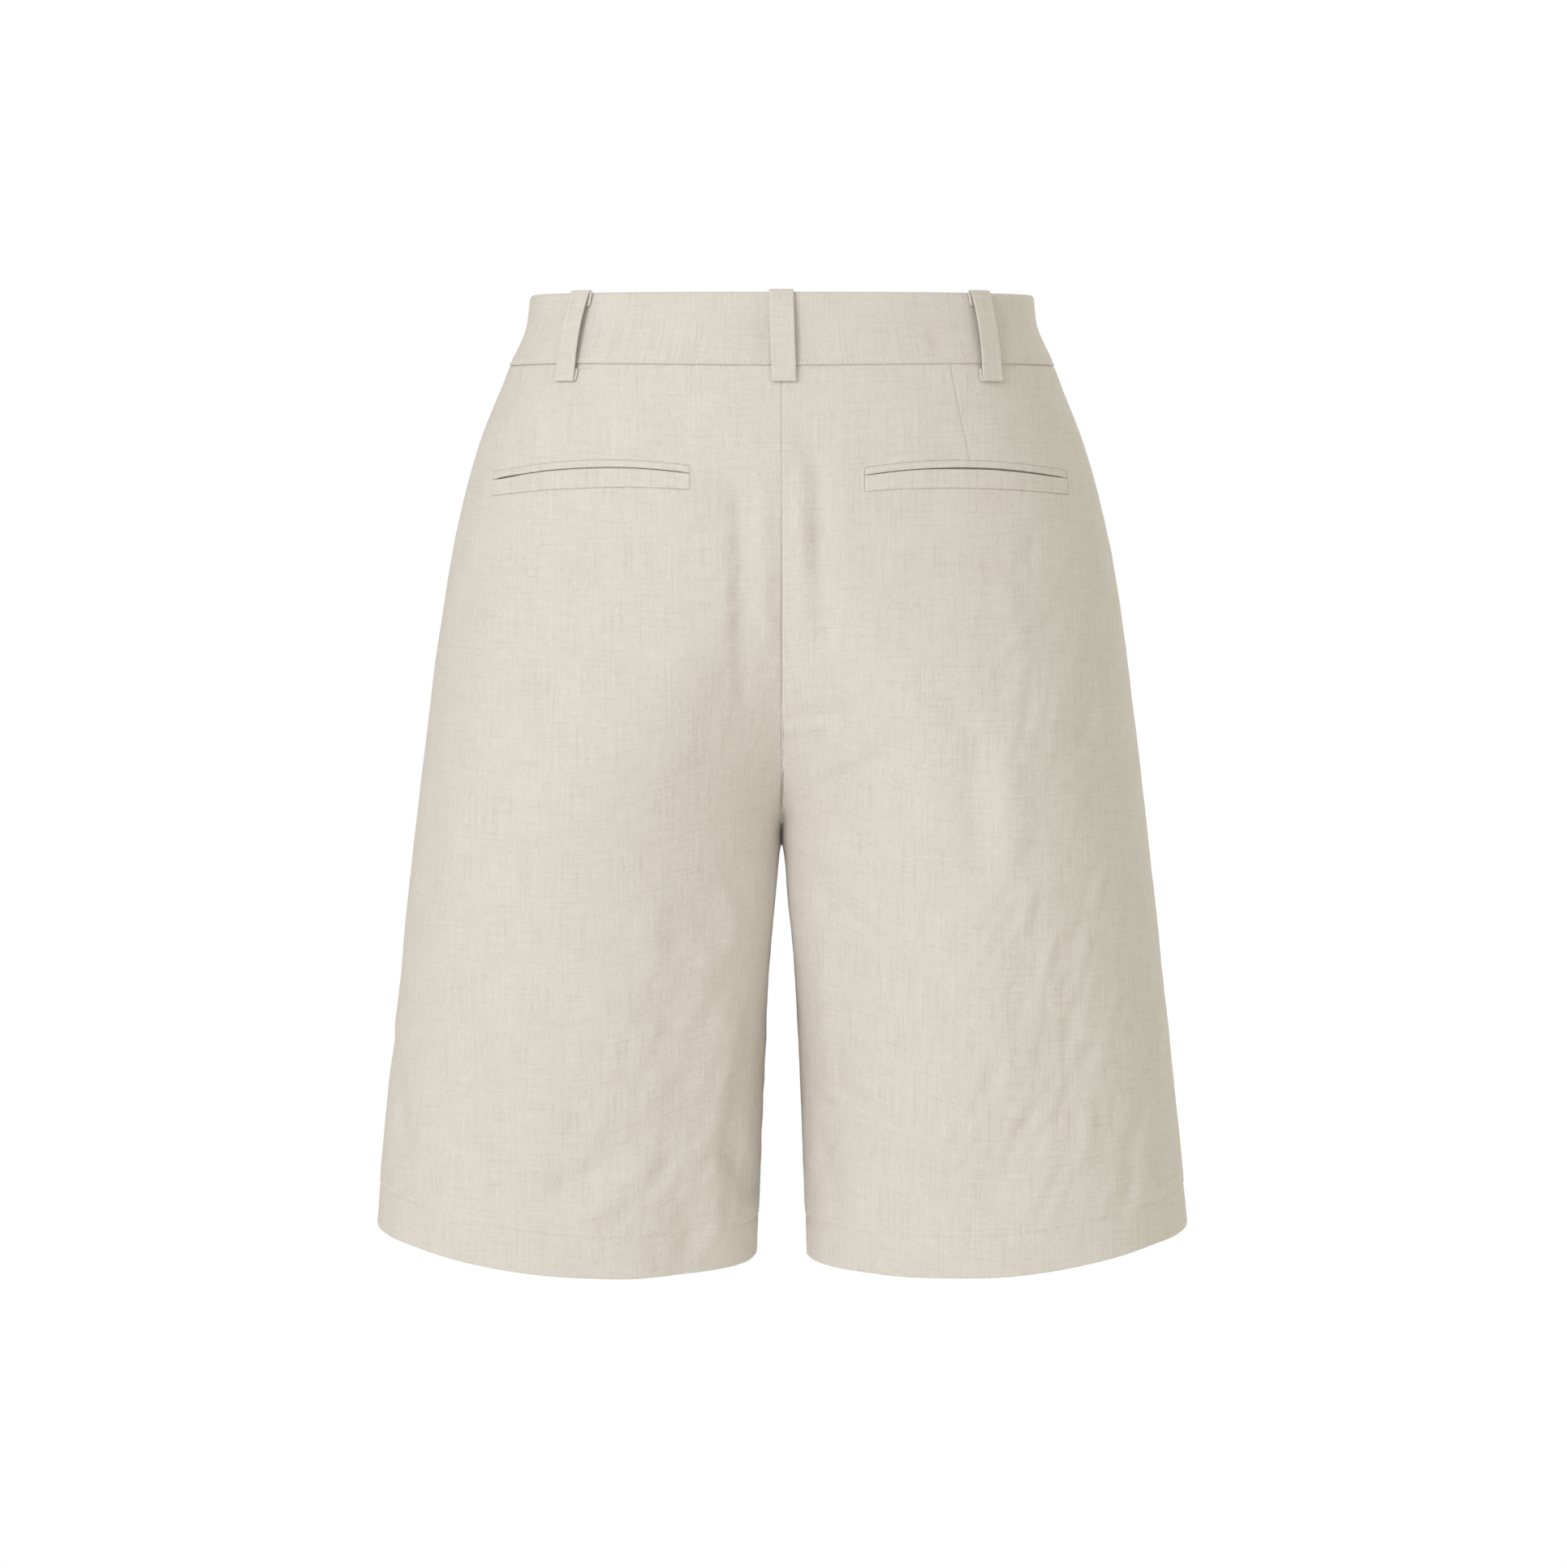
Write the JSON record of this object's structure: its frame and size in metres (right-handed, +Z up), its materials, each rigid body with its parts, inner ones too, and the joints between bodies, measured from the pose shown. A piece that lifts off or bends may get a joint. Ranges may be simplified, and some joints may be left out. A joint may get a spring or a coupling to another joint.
{
  "type": "bermuda shorts",
  "caption": "Knee-length linen shorts, filled out as worn: straight wide legs, a contoured waistband with belt loops, welted back pockets and deep plain hems.",
  "frame": {"origin": "the centre of the waistband ring, at half the waistband's height", "axes": "+Z up; the front with its fly faces -Y and the back with its pockets faces +Y; +X is the wearer's left"},
  "size_m": [0.4516, 0.2339, 0.5328],
  "materials": {
    "linen": "plain-woven slubby linen in light oatmeal, matt",
    "button": "turned polyester resin, satin"
  },
  "bodies": {
    "root": {"back_left": "linen", "back_right": "linen", "front_left": "linen", "front_right": "linen", "waistband_back": "linen", "waistband_front_left": "linen", "waistband_front_right": "linen", "loop_back_centre": "linen", "loop_back_left": "linen", "loop_back_right": "linen", "loop_front_left": "linen", "loop_front_right": "linen", "pocket_left_welt": "linen", "pocket_left_lip": "linen", "pocket_right_welt": "linen", "pocket_right_lip": "linen", "button": "button"}
  },
  "joints": []
}
